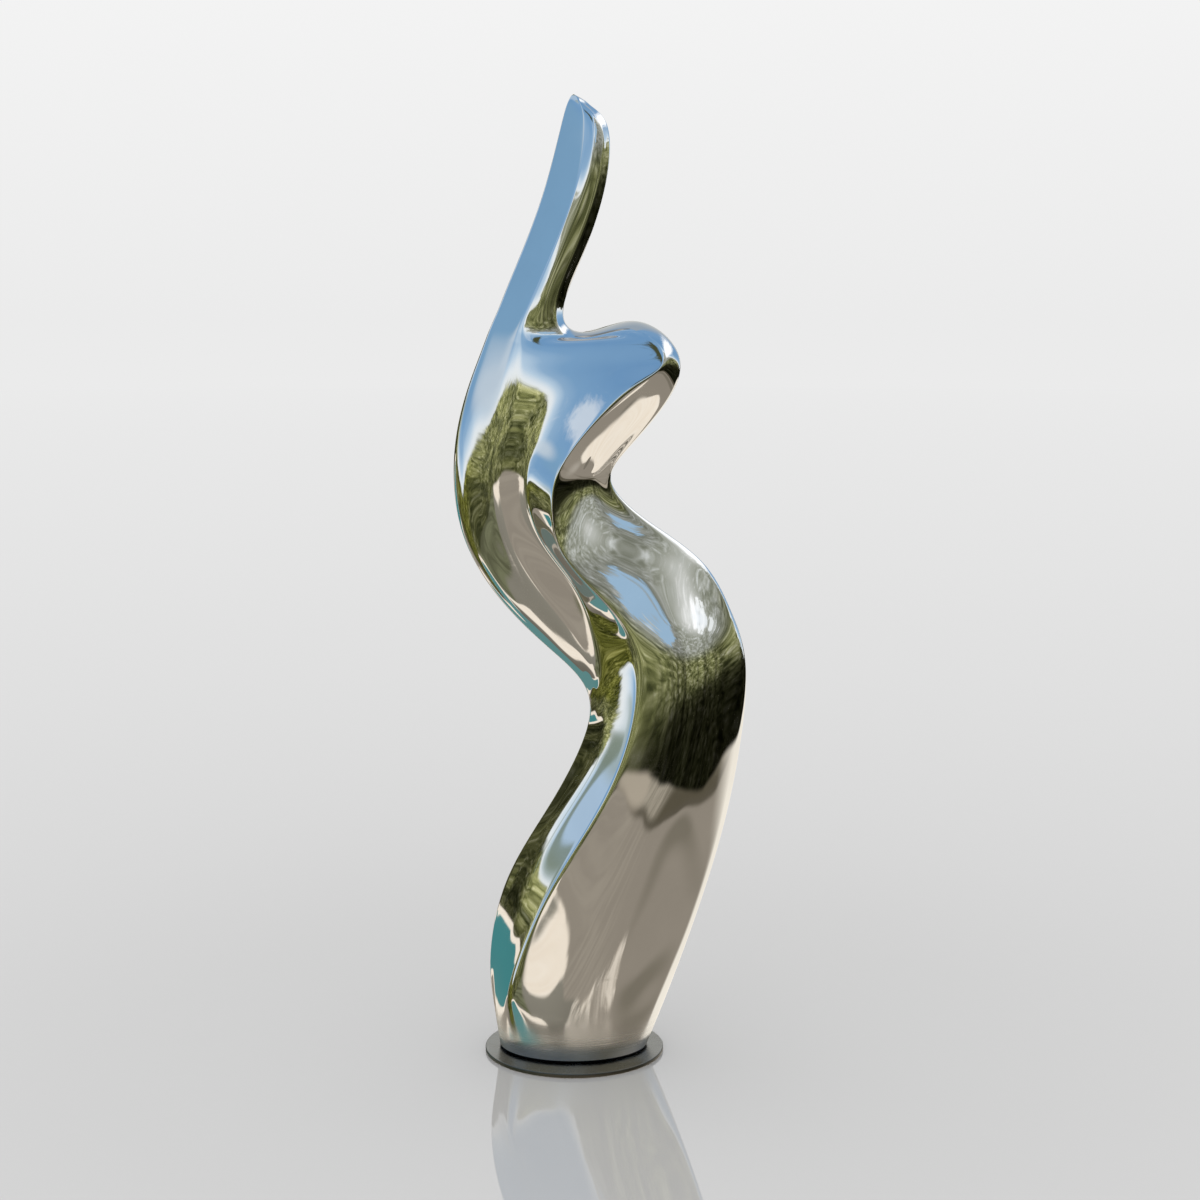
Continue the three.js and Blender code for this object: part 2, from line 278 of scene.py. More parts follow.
def build_body(material):
    rings = body_rings()
    around = rings.shape[1]
    # normals for the sheet's unevenness
    along_rows = np.gradient(rings, axis=0)
    round_ring = np.roll(rings, -1, axis=1) - np.roll(rings, 1, axis=1)
    normals = np.cross(round_ring, along_rows)
    normals /= np.maximum(np.linalg.norm(normals, axis=2, keepdims=True), 1e-9)
    rings = sheet_waves(rings.reshape(-1, 3), normals.reshape(-1, 3)).reshape(rings.shape)
    tuck = []
    for i in range(TUCK_ROWS, 0, -1):
        a = math.pi / 2 * i / TUCK_ROWS
        inset, drop = TUCK_INSET * (1 - math.cos(a)), TUCK_HEIGHT * math.sin(a)
        ring = rings[0].copy()
        ring[:, :2] = FOOT_CENTRE + (ring[:, :2] - FOOT_CENTRE) * (1 - inset / FOOT_HALF)
        ring[:, 2] -= drop
        tuck.append(ring)
    rings = np.concatenate([np.array(tuck), rings])
    points = np.concatenate([rings.reshape(-1, 3), [[*FOOT_CENTRE, PLATE_THICKNESS]], [TIP]])
    faces = ring_faces(len(rings), around, len(points) - 2, len(points) - 1)
    obj = mesh_object("sculpture_skin", points, faces, material)
    return obj


def build_plate(material):
    """The plate turned from its profile, with broken edges."""
    profile = [(60, 0), (140, 0)]
    for i in range(7):
        a = math.pi / 2 * i / 6
        profile.append((PLATE_RADIUS - PLATE_EDGE * (1 - math.sin(a)), PLATE_EDGE * (1 - math.cos(a))))
    for i in range(7):
        a = math.pi / 2 * i / 6
        profile.append((PLATE_RADIUS - PLATE_EDGE * (1 - math.cos(a)), PLATE_THICKNESS - PLATE_EDGE * (1 - math.sin(a))))
    profile += [(186, PLATE_THICKNESS), (178, PLATE_THICKNESS), (140, PLATE_THICKNESS), (60, PLATE_THICKNESS)]
    turn = np.arange(PLATE_SEGMENTS) * 2 * math.pi / PLATE_SEGMENTS
    rings = np.array([np.stack([r * np.cos(turn), r * np.sin(turn), np.full_like(turn, z)], 1) for r, z in profile])
    points = np.concatenate([rings.reshape(-1, 3), [[0, 0, 0]], [[0, 0, PLATE_THICKNESS]]])
    faces = ring_faces(len(rings), PLATE_SEGMENTS, len(points) - 2, len(points) - 1)
    return mesh_object("plate_disc", points, faces, material)


# ---------------------------------------------------------------- node helpers
def rgb(r, g, b):
    """An sRGB colour, 0 to 255, as a linear one."""
    def lin(v):
        v /= 255.0
        return v / 12.92 if v <= 0.04045 else ((v + 0.055) / 1.055) ** 2.4
    return (lin(r), lin(g), lin(b), 1.0)


class Nodes:
    def __init__(self, tree):
        self.tree = tree
        tree.nodes.clear()

    def put(self, socket, value):
        if isinstance(value, bpy.types.NodeSocket):
            self.tree.links.new(value, socket)
        else:
            socket.default_value = value

    def node(self, kind, inputs=None, **settings):
        n = self.tree.nodes.new(kind)
        for key, value in settings.items():
            setattr(n, key, value)
        for key, value in (inputs or {}).items():
            self.put(n.inputs[key], value)
        return n

    def math(self, operation, a, b=0.0, clamp=False):
        return self.node("ShaderNodeMath", {0: a, 1: b}, operation=operation, use_clamp=clamp).outputs[0]

    def vector(self, operation, a, b):
        return self.node("ShaderNodeVectorMath", {0: a, 1: b}, operation=operation).outputs[0]

    def step(self, value, low, high, start=0.0, end=1.0):
        return self.node(
            "ShaderNodeMapRange",
            {"Value": value, "From Min": low, "From Max": high, "To Min": start, "To Max": end},
            interpolation_type="SMOOTHSTEP",
        ).outputs[0]

    def line(self, value, low, high, start=0.0, end=1.0):
        return self.node(
            "ShaderNodeMapRange",
            {"Value": value, "From Min": low, "From Max": high, "To Min": start, "To Max": end},
        ).outputs[0]

    def blend(self, factor, a, b, kind="MIX"):
        n = self.node("ShaderNodeMix", data_type="RGBA", blend_type=kind)
        self.put(n.inputs[0], factor)
        self.put(n.inputs[6], a)
        self.put(n.inputs[7], b)
        return n.outputs[2]

    def noise(self, vector, scale, detail=4.0, roughness=0.55, distortion=0.0):
        return self.node(
            "ShaderNodeTexNoise",
            {"Vector": vector, "Scale": scale, "Detail": detail, "Roughness": roughness, "Distortion": distortion},
        ).outputs["Fac"]

    def ramp(self, factor, stops, interpolation="LINEAR"):
        n = self.node("ShaderNodeValToRGB", {"Fac": factor})
        n.color_ramp.interpolation = interpolation
        elements = n.color_ramp.elements
        while len(elements) < len(stops):
            elements.new(0.5)
        for e, (position, colour) in zip(elements, stops):
            e.position = position
            e.color = colour if hasattr(colour, "__len__") else (colour, colour, colour, 1.0)
        return n.outputs["Color"]

    def curve(self, factor, points):
        n = self.node("ShaderNodeFloatCurve", {"Value": factor})
        c = n.mapping.curves[0]
        while len(c.points) < len(points):
            c.points.new(0.5, 0.5)
        for p, (x, y) in zip(c.points, points):
            p.location = (x, y)
        n.mapping.update()
        return n.outputs[0]


# ---------------------------------------------------------------- materials
def mirror_steel():
    """Mirror-polished stainless sheet: soft polishing haze, a satin band where the foot was dressed, painted shade (a
    near-black, rougher band) on the tucked edge where the foot meets the plate, and a few tiny pits.
    """
    material = bpy.data.materials.new("mirror_steel_polished")
    material.use_nodes = True
    n = Nodes(material.node_tree)
    place = n.node("ShaderNodeTexCoord").outputs["Object"]
    x, y, z = n.node("ShaderNodeSeparateXYZ", {0: place}).outputs
    height = n.node("ShaderNodeSeparateXYZ", {0: place}).outputs[2]

    haze = n.noise(place, 5.0, 5.0, 0.6, 0.4)
    wipes = n.noise(n.vector("MULTIPLY", place, (9.0, 9.0, 60.0)), 1.0, 4.0, 0.6, 0.3)
    # fine level grinding lines at the foot
    grind = n.noise(n.vector("MULTIPLY", place, (6.0, 6.0, 900.0)), 1.0, 2.0, 0.5)
    foot = n.step(height, 0.02, 0.13, 1.0, 0.0)
    # painted shade: the tucked bottom edge of the foot, just above the plate, gets a near-black tone where the shadow
    # gap falls
    painted_gap_shade = n.step(height, 0.0130, 0.0146, 1.0, 0.0)

    cells = n.node("ShaderNodeTexVoronoi", {"Vector": place, "Scale": 7.5, "Randomness": 1.0}, feature="F1")
    pick = n.node("ShaderNodeSeparateColor", {0: cells.outputs["Color"]}).outputs[0]
    pits = n.math("MULTIPLY", n.step(cells.outputs["Distance"], 0.006, 0.010, 1.0, 0.0), n.step(pick, 0.62, 0.64))

    tone = n.ramp(haze, [(0.3, (0.80, 0.80, 0.795, 1)), (0.7, (0.86, 0.86, 0.855, 1))])
    tone = n.blend(n.math("MULTIPLY", foot, n.line(grind, 0.3, 0.7, 0.0, 0.35)), tone, (0.55, 0.55, 0.54, 1))
    tone = n.blend(pits, tone, (0.06, 0.055, 0.05, 1))
    # painted shade in the gap at the plate
    tone = n.blend(painted_gap_shade, tone, (0.012, 0.012, 0.012, 1))

    rough = n.line(haze, 0.35, 0.75, 0.022, 0.05)
    rough = n.math("ADD", rough, n.line(wipes, 0.55, 0.8, 0.0, 0.035))
    rough = n.math("ADD", rough, n.math("MULTIPLY", foot, n.line(grind, 0.25, 0.75, 0.2, 0.38)))
    rough = n.math("ADD", rough, n.math("MULTIPLY", painted_gap_shade, 0.5))
    rough = n.math("ADD", rough, n.math("MULTIPLY", pits, 0.4))

    fine = n.node(
        "ShaderNodeBump",
        {"Strength": 0.06, "Distance": 0.0004, "Height": n.math("MULTIPLY", grind, foot)},
    ).outputs[0]
    shader = n.node(
        "ShaderNodeBsdfPrincipled",
        {"Base Color": tone, "Metallic": 1.0, "Roughness": rough, "Normal": fine},
    )
    n.node("ShaderNodeOutputMaterial", {"Surface": shader.outputs[0]})
    return material


def plate_steel():
    """Dull satin plate: straight brushed marks, rubbed patches, light scratches and a darker cut edge."""
    material = bpy.data.materials.new("plate_steel_satin")
    material.use_nodes = True
    n = Nodes(material.node_tree)
    place = n.node("ShaderNodeTexCoord").outputs["Object"]
    x, y, z = n.node("ShaderNodeSeparateXYZ", {0: place}).outputs
    radius = n.math("SQRT", n.math("ADD", n.math("MULTIPLY", x, x), n.math("MULTIPLY", y, y)))
    edge = n.step(radius, 0.1885, 0.1897)
    brushed = n.noise(n.vector("MULTIPLY", place, (14.0, 520.0, 14.0)), 1.0, 3.0, 0.6)
    patches = n.noise(place, 13.0, 5.0, 0.6, 0.6)
    scratch = n.noise(n.vector("MULTIPLY", n.vector("ADD", place, (0.3, 0.1, 0.0)), (230.0, 9.0, 9.0)), 1.0, 2.0, 0.45)
    scratch = n.step(scratch, 0.68, 0.74)
    tone = n.ramp(patches, [(0.3, (0.27, 0.26, 0.235, 1)), (0.5, (0.36, 0.345, 0.315, 1)), (0.72, (0.46, 0.445, 0.41, 1))])
    tone = n.blend(n.line(brushed, 0.35, 0.7, 0.0, 0.3), tone, (0.5, 0.485, 0.45, 1))
    tone = n.blend(n.math("MULTIPLY", scratch, 0.35), tone, (0.75, 0.75, 0.74, 1))
    tone = n.blend(edge, tone, (0.13, 0.12, 0.10, 1))
    rough = n.line(patches, 0.3, 0.75, 0.2, 0.38)
    rough = n.math("ADD", rough, n.line(brushed, 0.3, 0.75, -0.05, 0.06))
    rough = n.math("ADD", rough, n.math("MULTIPLY", edge, 0.15))
    bump = n.node("ShaderNodeBump", {"Strength": 0.12, "Distance": 0.0004, "Height": n.math("ADD", brushed, scratch)}).outputs[0]
    shader = n.node(
        "ShaderNodeBsdfPrincipled", {"Base Color": tone, "Metallic": 1.0, "Roughness": rough, "Normal": bump}
    )
    n.node("ShaderNodeOutputMaterial", {"Surface": shader.outputs[0]})
    return material


def floor_paint():
    """Pale studio floor whose colour carries a painted light falloff, darker next to the object and a little lighter
    further off, with a faint polish close to the object.
    """
    material = bpy.data.materials.new("studio_floor")
    material.use_nodes = True
    n = Nodes(material.node_tree)
    place = n.node("ShaderNodeTexCoord").outputs["Object"]
    x, y, z = n.node("ShaderNodeSeparateXYZ", {0: place}).outputs
    radius = n.math("SQRT", n.math("ADD", n.math("MULTIPLY", x, x), n.math("MULTIPLY", y, y)))
    # painted light falloff: the floor grey is painted from 210 near the object up to 235 further off
    painted_falloff = n.line(n.math("LOGARITHM", n.math("MAXIMUM", radius, 0.5), 10.0), -0.30103, 1.69897)
    stops = [(0.0, 210), (0.15, 212), (0.30, 217), (0.416, 221), (0.5, 224), (0.573, 226), (0.637, 228), (0.724, 230), (0.83, 232), (1.0, 235)]
    paint = n.node("ShaderNodeBsdfDiffuse", {"Color": n.ramp(painted_falloff, [(p, rgb(v, v, v)) for p, v in stops])})
    polish = n.node("ShaderNodeBsdfGlossy", {"Color": (1, 1, 1, 1), "Roughness": 0.0})
    share = n.step(radius, 0.7, 2.0, 0.36, 0.0)
    shader = n.node("ShaderNodeMixShader", {0: share, 1: paint.outputs[0], 2: polish.outputs[0]})
    n.node("ShaderNodeOutputMaterial", {"Surface": shader.outputs[0]})
    return material


# ---------------------------------------------------------------- surround
def surround():
    """Tinted surround for the polished metal only: blue high up over a pale rim, an uneven olive belt, warm stone tones below. The floor and the backdrop see a plain grey studio."""
    world = bpy.data.worlds.new("studio")
    scene.world = world
    world.use_nodes = True
    n = Nodes(world.node_tree)
    way = n.node("ShaderNodeTexCoord").outputs["Generated"]
    x, y, z = n.node("ShaderNodeSeparateXYZ", {0: way}).outputs
    degrees = 180.0 / math.pi
    up = n.math("MULTIPLY", n.math("ARCSINE", z), degrees)
    round_ = n.math("MULTIPLY", n.math("ARCTAN2", x, n.math("MULTIPLY", y, -1.0)), degrees)  # 0 towards -Y, 90 towards +X
    turn = n.line(round_, -180.0, 180.0)
    level = n.node("ShaderNodeVectorMath", {0: n.node("ShaderNodeCombineXYZ", {0: x, 1: y, 2: 0.0}).outputs[0]}, operation="NORMALIZE").outputs[0]
    east, north, _ = n.node("ShaderNodeSeparateXYZ", {0: level}).outputs

    def by_azimuth(low, high, pairs):
        """A smooth function of the azimuth through the pairs."""
        c = n.curve(turn, [((a + 180) / 360, (v - low) / (high - low)) for a, v in pairs])
        return n.line(c, 0.0, 1.0, low, high)

    def bands(across, upwards, detail, roughness=0.6, distortion=0.3, shift=0.0):
        """Noise with one scale round the horizon, per radian, and another upwards, per degree."""
        vector = n.node(
            "ShaderNodeCombineXYZ",
            {0: n.math("MULTIPLY", east, across), 1: n.math("MULTIPLY", north, across), 2: n.math("ADD", n.math("MULTIPLY", up, upwards), shift)},
        ).outputs[0]
        return n.noise(vector, 1.0, detail, roughness, distortion)

    fleck = bands(11.0, 0.62, 8.0, 0.66, 0.5)
    tuft = bands(4.6, 0.22, 4.0, 0.6, 0.4, 7.0)
    fine = bands(27.0, 0.5, 5.0, 0.64, 2.2, 5.0)
    stripe = bands(9.0, 0.035, 4.0, 0.6, 0.2, 3.0)
    mottle = bands(2.9, 0.95, 4.0, 0.6, 0.5, 11.0)
    ragged = bands(5.0, 1.6, 4.0, 0.62, 0.4, 19.0)

    def below(curve, soft):
        return n.step(n.math("SUBTRACT", curve, up), -soft, soft)

    def right_of(azimuth, soft, rough_by=0.0):
        value = round_ if not rough_by else n.math("ADD", round_, n.line(ragged, 0.2, 0.8, -rough_by, rough_by))
        return n.step(value, azimuth - soft, azimuth + soft)

    def left_of(azimuth, soft, rough_by=0.0):
        return n.math("SUBTRACT", 1.0, right_of(azimuth, soft, rough_by))

    def both(*masks):
        m = masks[0]
        for other in masks[1:]:
            m = n.math("MULTIPLY", m, other)
        return m

    def patch(az, el, half_az, half_el, soft, rough_by=0.0, lean=0.0):
        """1 inside an oval of directions, 0 outside. The oval climbs by lean degrees for each degree to the right."""
        across = n.math("SUBTRACT", round_, az)
        height = n.math("SUBTRACT", up, el)
        if lean:
            height = n.math("SUBTRACT", height, n.math("MULTIPLY", across, lean))
        a = n.math("POWER", n.math("ABSOLUTE", n.math("DIVIDE", across, half_az)), 2.0)
        b = n.math("POWER", n.math("ABSOLUTE", n.math("DIVIDE", height, half_el)), 2.0)
        r = n.math("SQRT", n.math("ADD", a, b))
        if rough_by:
            r = n.math("ADD", r, n.line(fleck, 0.2, 0.8, -rough_by, rough_by))
        return n.step(r, 1.0 - soft, 1.0 + soft, 1.0, 0.0)

    # upper and lower edge of the olive belt
    crest = by_azimuth(-30.0, 50.0, [
        (-180, 4), (-165, 12), (-150, 19), (-135, 20), (-122, 20), (-113, 20), (-109, 17), (-106, 13.5), (-103, 12.8), (-101.5, 12), (-100, 8.5), (-98.5, 5.5), (-97, 3),
        (-94, 0), (-90, -3), (-85, -6), (-80, -9), (-76, -11), (-73, -9), (-71, -6.6), (-69, -5), (-67, -3), (-65.2, -0.8), (-64, 1.6), (-62.5, 4), (-61, 5.8), (-59, 7.6),
        (-56, 9.6), (-52, 11.6), (-45, 12.6), (-38, 12.6), (-31, 12.2), (-24, 12.2), (-18, 11.5), (-14, 8.5), (-10, 8.5), (-6, 10), (0, 13), (4, 16), (9, 20), (14, 25), (20, 30),
        (28, 36), (36, 42), (42, 45), (52, 45), (60, 39), (66, 33), (74, 28), (82, 25), (90, 22), (98, 16), (104, 11), (110, 5), (118, -1), (126, -4), (140, -2), (160, 2), (180, 4),
    ])
    hem = by_azimuth(-45.0, 0.0, [
        (-180, -8), (-150, -6), (-130, -4.5), (-118, -4), (-111, -4), (-108, -4), (-106.5, -8), (-105, -16), (-103, -22), (-100, -26), (-94, -28), (-88, -34),
        (-80, -35), (-75, -33), (-71, -25), (-67, -21.5), (-60, -20), (-52, -17), (-46, -14.5), (-40, -12.6), (-34, -12.3), (-25, -12.1), (-18, -10.5), (-12, -7.5),
        (-7, -5.5), (0, -6.5), (6, -8.5), (12, -10.5), (21, -13.5), (35, -17), (50, -20.5), (61, -22.3), (80, -24), (98, -24), (108, -22),
        (114, -19), (120, -17), (128, -14), (150, -9), (180, -8),
    ])
    right = n.step(round_, -14.0, 2.0)
    sway = n.math("ADD", n.line(tuft, 0.25, 0.75, -1.5, 1.5), n.line(fleck, 0.25, 0.75, -1.6, 1.6))
    top = n.math("ADD", crest, n.math("MULTIPLY", sway, n.line(right, 0.0, 1.0, 0.5, 2.2)))

    # upper part: a pale rim over the belt, then blue
    rise = n.math("SUBTRACT", up, crest)
    high = n.ramp(n.line(rise, 0.0, 60.0), [
        (0.0, rgb(232, 236, 236)), (0.03, rgb(226, 233, 238)), (0.075, rgb(184, 206, 225)), (0.14, rgb(140, 173, 204)), (0.25, rgb(120, 159, 196)),
        (0.6, rgb(108, 149, 190)), (1.0, rgb(118, 156, 194)),
    ])
    wisps = n.step(n.noise(n.vector("MULTIPLY", way, (1.6, 1.6, 1.0)), 2.4, 5.0, 0.55, 0.9), 0.55, 0.75)
    high = n.blend(n.math("MULTIPLY", wisps, 0.3), high, rgb(232, 238, 243))
    high = n.blend(n.math("MULTIPLY", patch(-70.0, 26.0, 12.0, 12.0, 0.5), 0.7), high, rgb(122, 160, 190))
    high = n.blend(n.math("MULTIPLY", patch(-60.0, 16.0, 6.0, 7.0, 0.6), 0.7), high, rgb(204, 214, 222))
    high = n.blend(n.math("MULTIPLY", patch(-40.0, 33.0, 9.0, 6.0, 0.5, 0.5), 0.6), high, rgb(230, 235, 240))
    behind = n.step(n.math("ABSOLUTE", round_), 125.0, 160.0)
    high = n.blend(behind, high, n.ramp(n.line(up, 0.0, 60.0), [(0.0, rgb(206, 206, 202)), (0.5, rgb(186, 190, 191)), (1.0, rgb(150, 163, 176))]))

    # olive belt, dark low down, paler and greyer high at the right
    olive = n.ramp(n.blend(right, fine, fleck), [
        (0.28, rgb(44, 48, 28)), (0.40, rgb(86, 90, 54)), (0.49, rgb(126, 129, 84)), (0.57, rgb(160, 161, 116)), (0.66, rgb(204, 203, 170)), (0.78, rgb(234, 232, 214)),
    ])
    pale = n.ramp(fleck, [(0.28, rgb(100, 104, 88)), (0.45, rgb(140, 143, 130)), (0.58, rgb(176, 179, 172)), (0.72, rgb(222, 226, 225))])
    olive = n.blend(both(right, n.step(up, 9.0, 19.0)), olive, pale)
    gold = both(right_of(-92.0, 5.0), left_of(-68.0, 4.0))
    olive = n.blend(gold, olive, n.blend(1.0, olive, (1.0, 1.0, 0.5, 1.0), "MULTIPLY"))
    heights = n.line(up, -30.0, 20.0)
    dim_left = n.ramp(heights, [(0.0, 0.30), (0.3, 0.32), (0.42, 0.5), (0.6, 0.76), (0.76, 0.92), (0.88, 1.0)])
    dim_right = n.ramp(heights, [(0.0, 0.035), (0.3, 0.045), (0.42, 0.06), (0.50, 0.13), (0.56, 0.4), (0.64, 0.75), (0.72, 0.85), (0.84, 0.8), (1.0, 1.0)])
    olive = n.blend(1.0, olive, n.blend(right, dim_left, dim_right), "MULTIPLY")
    dark = by_azimuth(0.0, 1.0, [(-180, 0.4), (-125, 0.3), (-112, 0.2), (-106, 0.3), (-103, 0.75), (-98, 1), (-20, 1), (12, 0.95), (22, 0.7), (34, 0.7), (48, 1), (100, 0.9), (125, 0.5), (180, 0.4)])
    olive = n.blend(1.0, olive, n.node("ShaderNodeCombineColor", {0: dark, 1: dark, 2: dark}).outputs[0], "MULTIPLY")
    clumps = n.blend(n.step(tuft, 0.36, 0.62), (0.45, 0.47, 0.42, 1), (1.5, 1.48, 1.35, 1))
    olive = n.blend(n.math("SUBTRACT", 1.0, right), olive, n.blend(1.0, olive, clumps, "MULTIPLY"))
    streaks = n.blend(n.step(stripe, 0.36, 0.6), (0.5, 0.5, 0.5, 1), (1.15, 1.15, 1.15, 1))
    olive = n.blend(both(right, n.step(up, 24.0, 6.0)), olive, n.blend(1.0, olive, streaks, "MULTIPLY"))

    # lower part: stone tones
    cream = n.blend(n.step(mottle, 0.3, 0.7), rgb(236, 223, 205), rgb(243, 233, 218))
    uneven = n.math("MULTIPLY", n.step(mottle, 0.36, 0.64), n.step(round_, 40.0, 5.0))
    stone = n.blend(uneven, rgb(141, 133, 121), rgb(152, 144, 131))
    stone = n.blend(n.math("MULTIPLY", patch(80.0, -28.8, 26.0, 1.5, 0.5), 0.45), stone, rgb(80, 76, 60))
    light_side = both(right_of(-37.0, 3.0), left_of(-21.3, 0.8, 1.8))
    stone = n.blend(light_side, stone, cream)
    corner = by_azimuth(-50.0, 0.0, [
        (-180, -40), (-80, -20), (-60, -11), (-45, -11.2), (-40, -12.8), (-37, -14), (-35, -15), (-32, -15.7), (-29, -16.1), (-26, -16.4), (-23.5, -15.8), (-22, -15.4), (-20, -16.5), (-15, -20), (-6, -22.5), (2, -25), (11, -27.5),
        (22, -29), (35, -31), (57, -36), (80, -45), (180, -45),
    ])
    stone = n.blend(both(below(corner, 0.5), right_of(-100.0, 10.0)), stone, n.ramp(n.line(up, -32.0, -12.0), [(0.0, rgb(106, 101, 91)), (1.0, rgb(140, 136, 124))]))
    dim = n.blend(n.step(mottle, 0.4, 0.6), rgb(86, 87, 66), rgb(114, 116, 90))
    stone = n.blend(both(left_of(-38.5, 2.0), right_of(-64.0, 3.0), n.step(up, -23.5, -22.5)), stone, dim)
    flecks = by_azimuth(-60.0, 0.0, [(-180, -60), (-9, -60), (-6, -23.5), (7, -26), (19, -27), (31, -28.3), (44, -28.8), (50, -29.8), (56, -60), (180, -60)])
    flecks = both(below(flecks, 0.4), n.step(ragged, 0.44, 0.58))
    stone = n.blend(n.math("MULTIPLY", flecks, 0.7), stone, cream)
    ring = by_azimuth(-45.0, 0.0, [
        (-180, -4), (-14, -6), (-6, -7), (-3, -8.7), (0, -10.3), (8, -13), (20, -18), (35, -22.5), (48, -25), (60, -26.2), (75, -26.2), (98, -25.8), (109, -24), (115, -20), (125, -10), (180, -4),
    ])
    in_ring = n.math("SUBTRACT", up, ring)
    hollow = n.blend(n.step(up, -17.0, -22.5), n.blend(n.step(mottle, 0.36, 0.64), rgb(134, 127, 113), rgb(160, 152, 137)), rgb(86, 80, 66))
    hollow = n.blend(n.step(in_ring, 0.3, 1.5), rgb(88, 82, 70), hollow)
    hollow = n.blend(patch(0.5, -7.8, 6.0, 2.2, 0.35, 0.0, -0.25), hollow, rgb(170, 160, 144))
    stone = n.blend(both(n.step(in_ring, -0.35, 0.35), n.step(round_, -12.0, -8.0)), stone, hollow)
    under = by_azimuth(-60.0, 0.0, [(-180, -37), (40, -37), (62, -37), (70, -38.5), (75, -44), (85, -46), (95, -45), (103, -42.5), (108, -40), (115, -37), (180, -37)])
    stone = n.blend(below(under, 0.6), stone, cream)
    stone = n.blend(right_of(115.0, 3.5), stone, rgb(240, 233, 220))
    colour = n.blend(n.step(n.math("SUBTRACT", up, hem), -0.5, 0.5), stone, olive)

    # two cool teal patches low at the left, with pale borders
    teal = n.blend(n.step(up, -36.0, -8.0), rgb(92, 134, 133), rgb(66, 128, 130))
    brim = by_azimuth(-60.0, 0.0, [(-180, -40), (-160, -24), (-156, -16), (-148, -10), (-132, -8), (-118, -4), (-112, -3.2), (-104, -3.2), (-100, -10), (180, -40)])
    bed = by_azimuth(-60.0, 0.0, [(-180, -12), (-156, -16), (-148, -20), (-132, -19), (-118, -16.5), (-110, -15.5), (-104, -15), (180, -8)])
    inside = n.math("MINIMUM", n.math("SUBTRACT", brim, up), n.math("SUBTRACT", up, bed))
    inside = n.math("MINIMUM", inside, n.math("MULTIPLY", n.math("SUBTRACT", -107.8, round_), 0.9))
    colour = n.blend(n.step(inside, -1.8, -1.4), colour, cream)
    colour = n.blend(n.step(inside, -0.3, 0.2), colour, teal)
    brim = by_azimuth(-60.0, 0.0, [
        (-180, -60), (-165, -58), (-155, -33), (-140, -31), (-125, -31), (-114, -32), (-107, -34), (-100, -37), (-93, -40), (-86, -43), (-78, -43), (-75, -38), (-73, -27),
        (-70, -23.6), (-65, -23), (-60, -23.1), (-57, -24.8), (-54, -28.5), (-50, -32.8), (-45, -33), (-39, -35), (-35.5, -50), (180, -60),
    ])
    border = by_azimuth(-60.0, 0.0, [
        (-180, -60), (-165, -56), (-155, -30), (-140, -27), (-125, -27), (-114, -28), (-107, -31), (-100, -34), (-93, -38), (-86, -41.5), (-78, -41.5), (-75, -36), (-73, -25.5),
        (-70, -22.2), (-65, -21.6), (-60, -21.6), (-56, -22.8), (-53, -23.9), (-50, -24.6), (-46, -24.2), (-41, -23.3), (-38, -22.6), (-36, -21.8), (-34, -21), (-32, -20.4), (-30, -20.3), (-28, -21.2), (-25.5, -24), (-23, -50), (180, -60),
    ])
    colour = n.blend(both(below(border, 0.25), n.math("SUBTRACT", 1.0, both(right_of(-51.0, 1.0), n.step(up, -25.5, -27.5)))), colour, cream)
    colour = n.blend(below(brim, 0.25), colour, teal)
    colour = n.blend(n.step(up, -48.0, -56.0), colour, n.blend(n.step(mottle, 0.36, 0.64), rgb(146, 139, 128), rgb(170, 162, 149)))

    # gaps and glare high at the right
    colour = n.blend(n.step(n.math("SUBTRACT", up, top), -0.6, 0.9), colour, high)
    colour = n.blend(patch(21.0, 25.5, 11.0, 5.0, 0.15, 0.75, 0.5), colour, rgb(152, 182, 208))
    colour = n.blend(patch(2.0, 37.0, 8.0, 6.0, 0.3, 0.5), colour, rgb(70, 74, 52))
    left_face = both(n.step(round_, -84.0, -90.0), n.step(round_, -112.0, -106.0), n.step(n.math("SUBTRACT", up, crest), 1.0, 4.0))
    colour = n.blend(n.math("MULTIPLY", left_face, 0.4), colour, rgb(214, 228, 238))
    colour = n.blend(n.math("MULTIPLY", both(left_face, n.step(up, 15.5, 12.5)), 0.55), colour, rgb(140, 152, 138))
    colour = n.blend(n.math("MULTIPLY", patch(-98.2, 13.5, 1.2, 8.0, 0.4), 0.8), colour, rgb(112, 124, 106))
    colour = n.blend(n.math("MULTIPLY", patch(-102.4, 14.0, 0.6, 5.0, 0.5), 0.5), colour, rgb(122, 138, 124))
    colour = n.blend(patch(96.0, 39.0, 38.0, 12.0, 0.35, 0.35), colour, (1.15, 1.16, 1.17, 1.0))
    colour = n.blend(1.0, colour, (1.17, 1.17, 1.17, 1.0), "MULTIPLY")

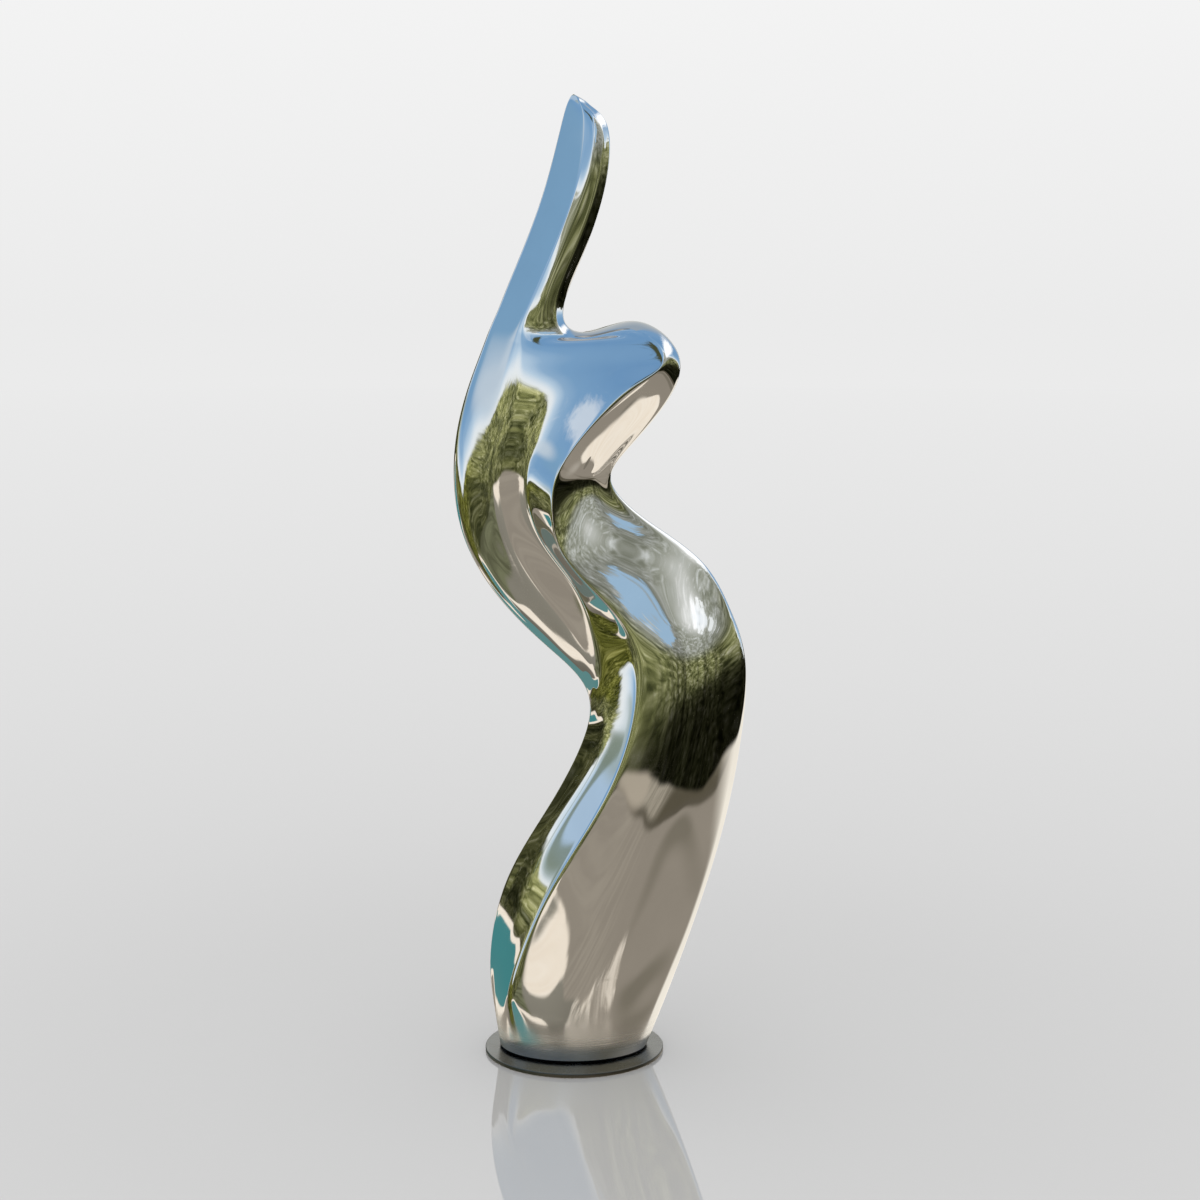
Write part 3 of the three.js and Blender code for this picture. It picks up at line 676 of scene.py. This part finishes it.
    # plain studio for everything else
    studio = n.ramp(n.line(up, 0.0, 40.0), [(0.0, rgb(235, 235, 235)), (0.2, rgb(243, 243, 243)), (1.0, rgb(250, 250, 250))])
    path = n.node("ShaderNodeLightPath").outputs
    polished = n.math("MULTIPLY", path["Is Glossy Ray"], n.math("SUBTRACT", 1.0, path["Is Singular Ray"]))
    plain = n.blend(path["Is Singular Ray"], (1.0, 1.0, 1.0, 1.0), rgb(211, 211, 211))
    colour = n.blend(n.math("MULTIPLY", n.math("GREATER_THAN", path["Ray Depth"], 2.5), 0.6), colour, rgb(128, 121, 109))

    # one shader each, so that a ray that meets the plain studio skips the work of the surround
    def light(paint):
        return n.node("ShaderNodeBackground", {"Color": paint, "Strength": 1.0}).outputs[0]

    shade = n.node("ShaderNodeMixShader", {0: polished, 1: light(plain), 2: light(colour)}).outputs[0]
    shade = n.node("ShaderNodeMixShader", {0: path["Is Camera Ray"], 1: shade, 2: light(studio)}).outputs[0]
    n.node("ShaderNodeOutputWorld", {"Surface": shade})
    world.cycles.sampling_method = "NONE"


def build_floor():
    segments, radius = 96, 45.0
    turn = np.arange(segments) * 2 * math.pi / segments
    rim = [(radius * math.cos(a), radius * math.sin(a), 0.0) for a in turn]
    mesh = bpy.data.meshes.new("studio_floor")
    mesh.from_pydata(rim, [], [tuple(range(segments))])
    mesh.materials.append(floor_paint())
    obj = bpy.data.objects.new("studio_floor", mesh)
    obj.location.z = -0.0006
    scene.collection.objects.link(obj)
    obj.visible_glossy = False


def build_camera():
    data = bpy.data.cameras.new("camera")
    data.sensor_width = 36.0
    data.lens = 64.5
    camera = bpy.data.objects.new("camera", data)
    camera.location = (0.0549, -4.45, 1.55)
    camera.rotation_euler = (math.radians(90 - 7.45), 0.0, 0.0)
    scene.collection.objects.link(camera)
    scene.camera = camera


# ---------------------------------------------------------------- the scene
body = build_body(mirror_steel())
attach(body, "root")
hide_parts("sculpture_body")

plate = build_plate(plate_steel())
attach(plate, "root")
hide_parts("base_plate")

surround()
build_floor()
build_camera()
scene.view_settings.view_transform = "Standard"
